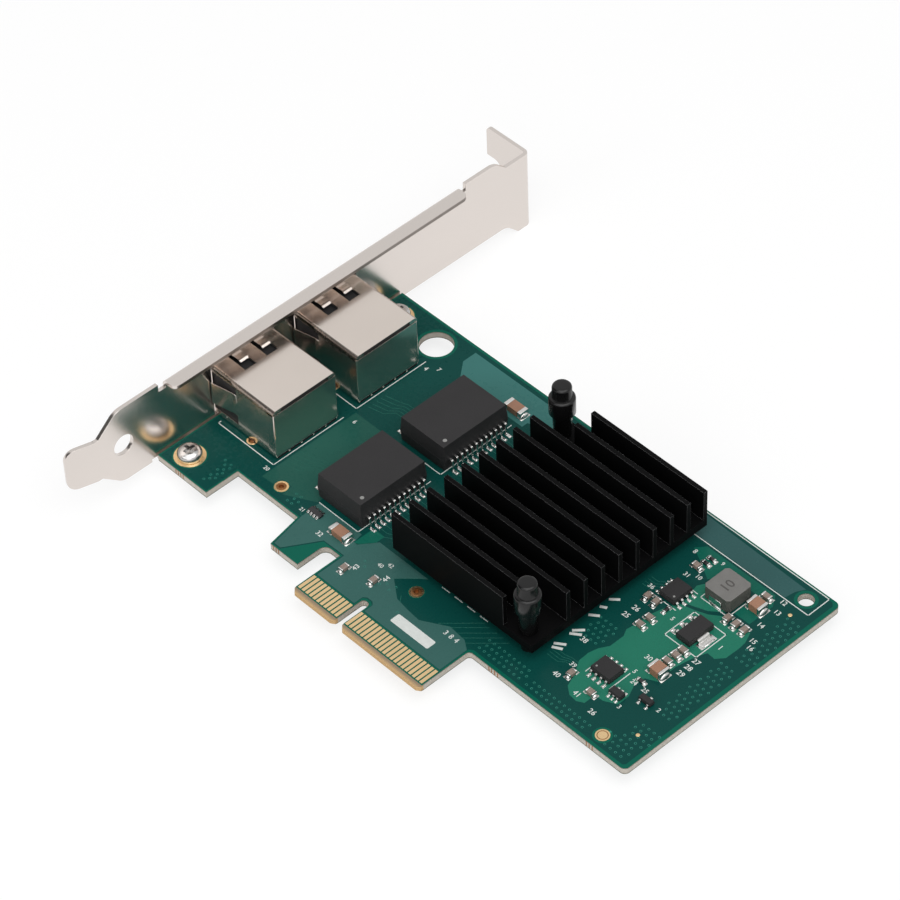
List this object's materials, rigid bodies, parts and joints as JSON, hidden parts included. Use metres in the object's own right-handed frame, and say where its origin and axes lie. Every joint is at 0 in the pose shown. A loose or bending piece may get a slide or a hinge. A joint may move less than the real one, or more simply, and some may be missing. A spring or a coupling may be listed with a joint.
{
  "type": "network interface card",
  "caption": "Low-profile expansion card with a finned heat sink, shielded network sockets and a folded slot bracket.",
  "frame": {"origin": "on the board's component face, at the tip of the contact edge, in the middle of the key notch", "axes": "+X from the bracket to the far end of the board, +Y from the edge contacts to the board's top edge, +Z out of the component face"},
  "size_m": [0.1308, 0.1201, 0.022],
  "materials": {
    "solder_mask": "satin",
    "gold_plating": "satin",
    "bracket_steel": "satin",
    "screw_steel": "polished",
    "shield_metal": "satin",
    "black_plastic": "matt",
    "lens_plastic": "clear satin",
    "chip_resin": "matt",
    "tinned_lead": "satin",
    "black_anodised": "satin anodised",
    "gloss_black": "gloss",
    "pad_silicone": "matt",
    "core_resin": "matt",
    "brown_ceramic": "satin",
    "grey_ceramic": "satin",
    "resistor_film": "satin"
  },
  "bodies": {
    "root": {"circuit_board": "solder_mask", "edge_contacts": "gold_plating", "plated_pads": "gold_plating", "mounting_bracket": "bracket_steel", "bracket_screws": "screw_steel", "controller_chip": "chip_resin", "thermal_pad": "pad_silicone", "heat_sink": "black_anodised", "push_pins": "gloss_black", "inductor_core": "core_resin", "inductor_terminals": "tinned_lead", "regulator_body": "chip_resin", "regulator_leads": "tinned_lead", "memory_chip_body": "chip_resin", "memory_chip_leads": "tinned_lead", "driver_chip_body": "chip_resin", "driver_chip_leads": "tinned_lead", "six_pin_chip_body": "chip_resin", "six_pin_chip_leads": "tinned_lead", "transistor_body": "chip_resin", "transistor_leads": "tinned_lead", "surge_capacitor_bodies": "brown_ceramic", "surge_capacitor_ends": "tinned_lead", "large_capacitor_bodies": "brown_ceramic", "large_capacitor_ends": "tinned_lead", "small_capacitor_bodies": "grey_ceramic", "small_capacitor_ends": "tinned_lead", "resistor_bodies": "resistor_film", "resistor_ends": "tinned_lead", "port_1_shield": "shield_metal", "port_1_housing": "black_plastic", "port_1_wires": "gold_plating", "port_1_lights": "lens_plastic", "module_1_body": "chip_resin", "module_1_leads": "tinned_lead", "port_2_shield": "shield_metal", "port_2_housing": "black_plastic", "port_2_wires": "gold_plating", "port_2_lights": "lens_plastic", "module_2_body": "chip_resin", "module_2_leads": "tinned_lead"}
  },
  "joints": []
}
